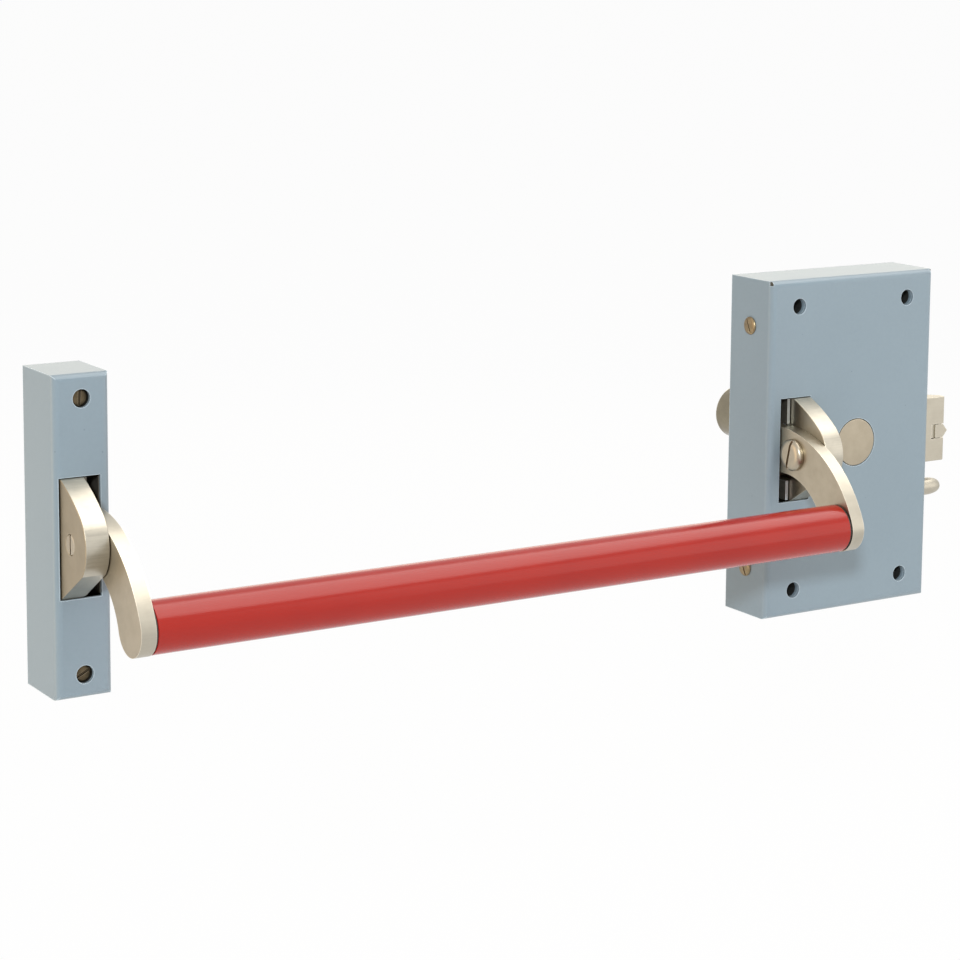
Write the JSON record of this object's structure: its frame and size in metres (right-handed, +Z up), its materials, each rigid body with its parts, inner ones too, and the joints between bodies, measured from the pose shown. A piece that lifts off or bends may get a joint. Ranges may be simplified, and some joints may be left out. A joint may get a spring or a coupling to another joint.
{
  "type": "panic exit lock",
  "caption": "Surface-mounted panic exit lock: a push bar on curved pivoting arms between a lock case with a sprung latch and a narrow pivot housing, with a cylinder through the door.",
  "frame": {"origin": "centre of the lock case's four fixing holes on the door's surface", "axes": "+X along the push bar towards the strike, +Y into the door, +Z up"},
  "size_m": [0.5044, 0.1587, 0.172],
  "materials": {
    "cover_paint": "gloss",
    "red_paint": "gloss",
    "satin_nickel": "satin",
    "zinc_steel": "satin",
    "spring_steel": "satin",
    "brass": "satin",
    "dark_ring": "matt"
  },
  "bodies": {
    "lock_case": {"lock_case_cover": "cover_paint", "lock_back_plate": "zinc_steel", "cover_screws": "brass", "mounting_sleeves": "zinc_steel", "cylinder_hole_cap": "satin_nickel", "lock_bracket": "zinc_steel", "lock_axle": "zinc_steel", "lock_torsion_spring": "spring_steel", "slide_studs": "zinc_steel", "slide_spring": "spring_steel", "crank_post": "zinc_steel", "latch_guide": "zinc_steel", "plunger_spring": "spring_steel", "cylinder_body": "satin_nickel", "cylinder_screws": "zinc_steel", "cam_bush": "zinc_steel", "pivot_housing_cover": "cover_paint", "pivot_back_plate": "zinc_steel", "pivot_bracket": "zinc_steel", "pivot_axle": "zinc_steel", "pivot_torsion_spring": "spring_steel", "pivot_sleeves": "zinc_steel", "pivot_housing_screws": "brass"},
    "push_bar": {"push_bar_tube": "red_paint", "bar_end_collars": "dark_ring", "lock_arm": "satin_nickel", "pivot_arm": "satin_nickel", "lock_rocker": "satin_nickel", "pivot_rocker": "satin_nickel", "lock_arm_screw": "satin_nickel", "pivot_arm_screw": "satin_nickel", "drive_lug": "zinc_steel"},
    "slide": {"drive_slide": "zinc_steel"},
    "crank": {"bell_crank": "zinc_steel", "crank_pins": "zinc_steel"},
    "latch": {"latch_bolt": "satin_nickel", "latch_tail": "zinc_steel", "trigger_spring": "spring_steel"},
    "trigger": {"latch_trigger": "satin_nickel"},
    "plunger": {"deadlock_plunger": "satin_nickel"},
    "cylinder_core": {"cylinder_plug": "brass", "cylinder_tailpiece": "zinc_steel", "cylinder_cam": "zinc_steel"}
  },
  "joints": [
    {"name": "bar_push", "type": "hinge", "parent": "lock_case", "child": "push_bar", "pos_m": [0, -0.018, 0.006], "axis": [1, 0, 0], "range_deg": [0, 14], "stiffness_Nm_per_rad": 4, "springref_deg": -28.65},
    {"name": "drive_travel", "type": "slide", "parent": "lock_case", "child": "slide", "axis": [0, 0, -1], "range_m": [0, 0.00247], "deforming": ["slide_spring"]},
    {"name": "crank_turn", "type": "hinge", "parent": "lock_case", "child": "crank", "pos_m": [-0.009, -0.0245, -0.033], "axis": [0, -1, 0], "range_deg": [0, 24.3]},
    {"name": "latch_travel", "type": "slide", "parent": "lock_case", "child": "latch", "axis": [-1, 0, 0], "range_m": [0, 0.0156]},
    {"name": "trigger_press", "type": "slide", "parent": "latch", "child": "trigger", "axis": [-1, 0, 0], "range_m": [0, 0.0022], "stiffness_N_per_m": 400, "springref_m": -0.004, "deforming": ["trigger_spring"]},
    {"name": "plunger_press", "type": "slide", "parent": "lock_case", "child": "plunger", "axis": [-1, 0, 0], "range_m": [0, 0.012], "stiffness_N_per_m": 300, "springref_m": -0.01, "deforming": ["plunger_spring"]},
    {"name": "key_turn", "type": "hinge", "parent": "lock_case", "child": "cylinder_core", "pos_m": [0.0035, 0, 0], "axis": [0, -1, 0], "range_deg": [0, 128]}
  ],
  "couplings": [
    {"joint": "drive_travel", "follows": "bar_push", "m_per_rad": 0.0099008},
    {"joint": "crank_turn", "follows": "bar_push", "ratio": 1.7143},
    {"joint": "latch_travel", "follows": "bar_push", "m_per_rad": 0.063435}
  ]
}
